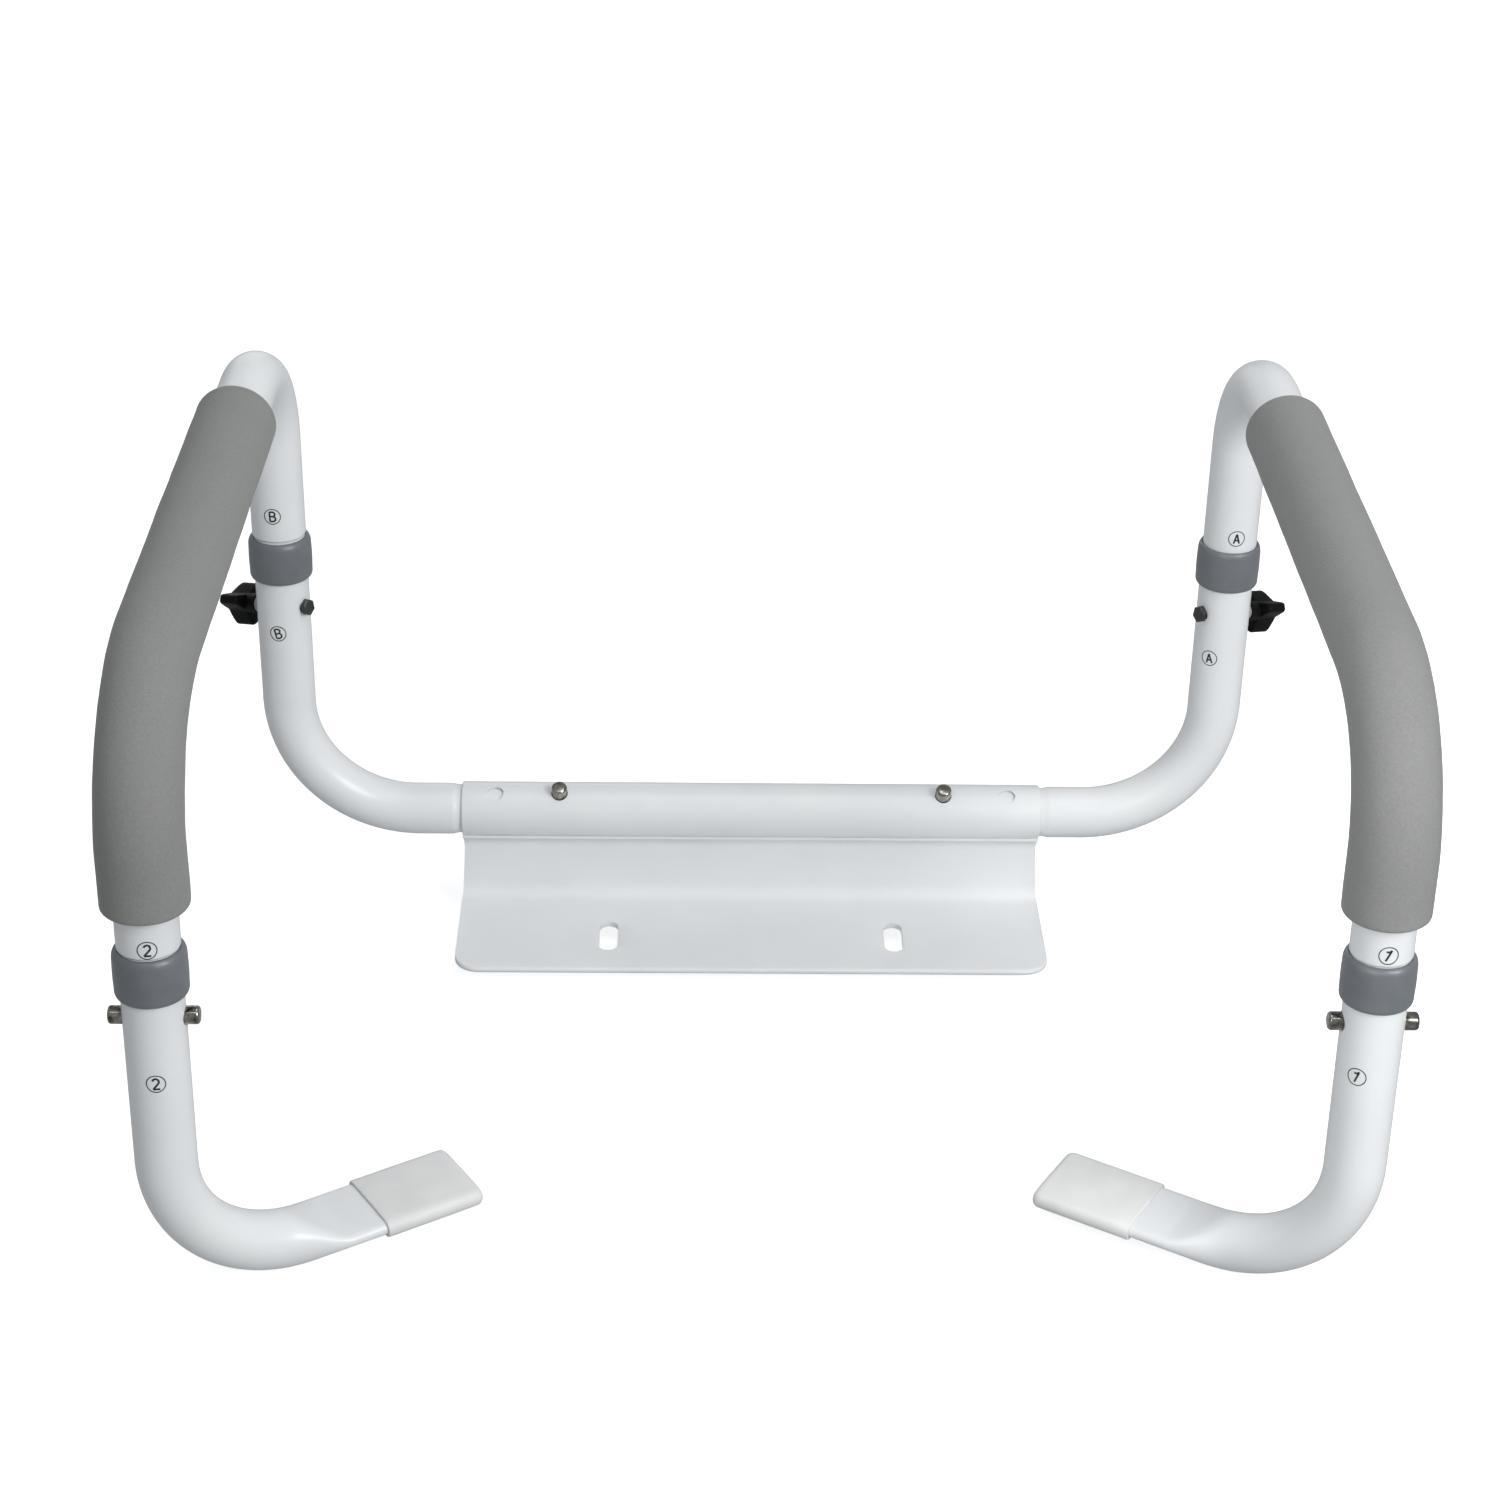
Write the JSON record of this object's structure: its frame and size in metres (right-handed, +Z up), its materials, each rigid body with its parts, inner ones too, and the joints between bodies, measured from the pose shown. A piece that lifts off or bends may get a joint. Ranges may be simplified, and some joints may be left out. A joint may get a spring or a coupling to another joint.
{
  "type": "toilet safety frame",
  "caption": "Toilet safety frame: padded armrests on tube arms that slide in a cross tube with a seat-bolt plate, front feet on the bowl rim.",
  "frame": {"origin": "middle of the mounting plate's underside, on the line between the two seat bolts", "axes": "+Z up from the bowl's rim, -Y towards the front of the bowl, +X along the cross tube to the right of somebody facing the frame"},
  "size_m": [0.5198, 0.355, 0.3129],
  "materials": {
    "powder_coat": "glossy white powder coat on steel tube and plate",
    "foam": "matte grey closed-cell foam with a fine grain",
    "collar": "satin blue-grey moulded plastic",
    "sleeve": "satin white moulded plastic",
    "knob": "black moulded plastic",
    "spacer": "pale grey moulded plastic",
    "insert": "plain brass",
    "button": "bright nickel plate",
    "spring": "plain spring steel",
    "bolt": "black oxide steel"
  },
  "bodies": {
    "mount": {"cross_tube": "powder_coat", "mounting_plate": "powder_coat"},
    "side_left": {"rear_lower_tube_left": "powder_coat", "arm_tube_left": "powder_coat", "foam_grip_left": "foam", "front_lower_tube_left": "powder_coat", "foot_sleeve_left": "sleeve", "rear_collar_left": "collar", "front_collar_left": "collar", "rear_spring_clip_left": "spring", "front_spring_clip_left": "spring", "clamp_bolt_left": "bolt"},
    "rear_button_left": {"rear_snap_button_left": "button"},
    "front_button_outer_left": {"front_snap_button_outer_left": "button"},
    "front_button_inner_left": {"front_snap_button_inner_left": "button"},
    "clamp_washer_left": {"knob_spacer_left": "spacer"},
    "clamp_handle_left": {"clamp_knob_left": "knob", "knob_insert_left": "insert"},
    "side_right": {"rear_lower_tube_right": "powder_coat", "arm_tube_right": "powder_coat", "foam_grip_right": "foam", "front_lower_tube_right": "powder_coat", "foot_sleeve_right": "sleeve", "rear_collar_right": "collar", "front_collar_right": "collar", "rear_spring_clip_right": "spring", "front_spring_clip_right": "spring", "clamp_bolt_right": "bolt"},
    "rear_button_right": {"rear_snap_button_right": "button"},
    "front_button_outer_right": {"front_snap_button_outer_right": "button"},
    "front_button_inner_right": {"front_snap_button_inner_right": "button"},
    "clamp_washer_right": {"knob_spacer_right": "spacer"},
    "clamp_handle_right": {"clamp_knob_right": "knob", "knob_insert_right": "insert"}
  },
  "joints": [
    {"name": "width_slide_left", "type": "slide", "parent": "mount", "child": "side_left", "axis": [-1, 0, 0], "range_m": [0, 0.03175], "deforming": ["rear_snap_button_left", "rear_spring_clip_left"]},
    {"name": "rear_button_press_left", "type": "slide", "parent": "side_left", "child": "rear_button_left", "axis": [0, 0.4226, -0.9063], "range_m": [0, 0.007], "stiffness_N_per_m": 700, "springref_m": -0.004},
    {"name": "front_button_outer_press_left", "type": "slide", "parent": "side_left", "child": "front_button_outer_left", "axis": [1, 0, 0], "range_m": [0, 0.007], "stiffness_N_per_m": 700, "springref_m": -0.004, "deforming": ["front_spring_clip_left"]},
    {"name": "front_button_inner_press_left", "type": "slide", "parent": "side_left", "child": "front_button_inner_left", "axis": [-1, 0, 0], "range_m": [0, 0.007], "stiffness_N_per_m": 700, "springref_m": -0.004},
    {"name": "clamp_loosen_left", "type": "slide", "parent": "side_left", "child": "clamp_washer_left", "axis": [-0.831, 0.5193, -0.1994], "range_m": [0, 0.0008]},
    {"name": "knob_turn_left", "type": "hinge", "parent": "clamp_washer_left", "child": "clamp_handle_left", "pos_m": [-0.226, 0.048, 0.1587], "axis": [-0.831, 0.5193, -0.1994], "range_deg": [0, 360]},
    {"name": "width_slide_right", "type": "slide", "parent": "mount", "child": "side_right", "axis": [1, 0, 0], "range_m": [0, 0.03175], "deforming": ["rear_snap_button_right", "rear_spring_clip_right"]},
    {"name": "rear_button_press_right", "type": "slide", "parent": "side_right", "child": "rear_button_right", "axis": [0, 0.4226, -0.9063], "range_m": [0, 0.007], "stiffness_N_per_m": 700, "springref_m": -0.004},
    {"name": "front_button_outer_press_right", "type": "slide", "parent": "side_right", "child": "front_button_outer_right", "axis": [-1, 0, 0], "range_m": [0, 0.007], "stiffness_N_per_m": 700, "springref_m": -0.004, "deforming": ["front_spring_clip_right"]},
    {"name": "front_button_inner_press_right", "type": "slide", "parent": "side_right", "child": "front_button_inner_right", "axis": [1, 0, 0], "range_m": [0, 0.007], "stiffness_N_per_m": 700, "springref_m": -0.004},
    {"name": "clamp_loosen_right", "type": "slide", "parent": "side_right", "child": "clamp_washer_right", "axis": [0.831, 0.5193, -0.1994], "range_m": [0, 0.0008]},
    {"name": "knob_turn_right", "type": "hinge", "parent": "clamp_washer_right", "child": "clamp_handle_right", "pos_m": [0.226, 0.048, 0.1587], "axis": [0.831, 0.5193, -0.1994], "range_deg": [0, 360]}
  ],
  "couplings": [
    {"joint": "knob_turn_left", "follows": "clamp_loosen_left", "rad_per_m": 7853.2},
    {"joint": "knob_turn_right", "follows": "clamp_loosen_right", "rad_per_m": 7853.2}
  ]
}
